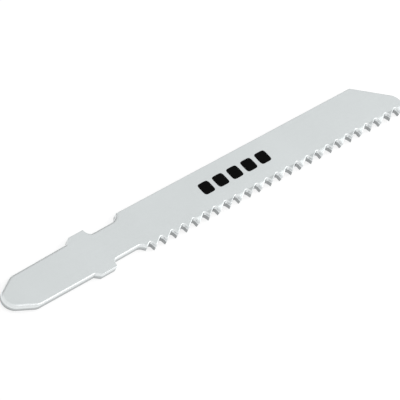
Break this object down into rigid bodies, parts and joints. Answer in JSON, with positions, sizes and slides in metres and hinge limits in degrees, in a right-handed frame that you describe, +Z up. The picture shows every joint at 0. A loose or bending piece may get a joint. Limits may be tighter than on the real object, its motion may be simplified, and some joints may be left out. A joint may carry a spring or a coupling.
{
  "type": "jigsaw blade",
  "caption": "Flat steel jigsaw blade with a T-shaped shank, a straight back edge, a sloping tip and side-set milled teeth.",
  "frame": {"origin": "centre of the bounding box, at its bottom; the blade lies flat on the tips of the teeth that are bent down", "axes": "+X along the back edge from the shank to the tip, +Y across the blade towards the straight back edge (the teeth face -Y), +Z up through its thickness"},
  "size_m": [0.0916, 0.0082, 0.0015],
  "materials": {
    "blade": "satin"
  },
  "bodies": {
    "root": {"blade": "blade"}
  },
  "joints": []
}
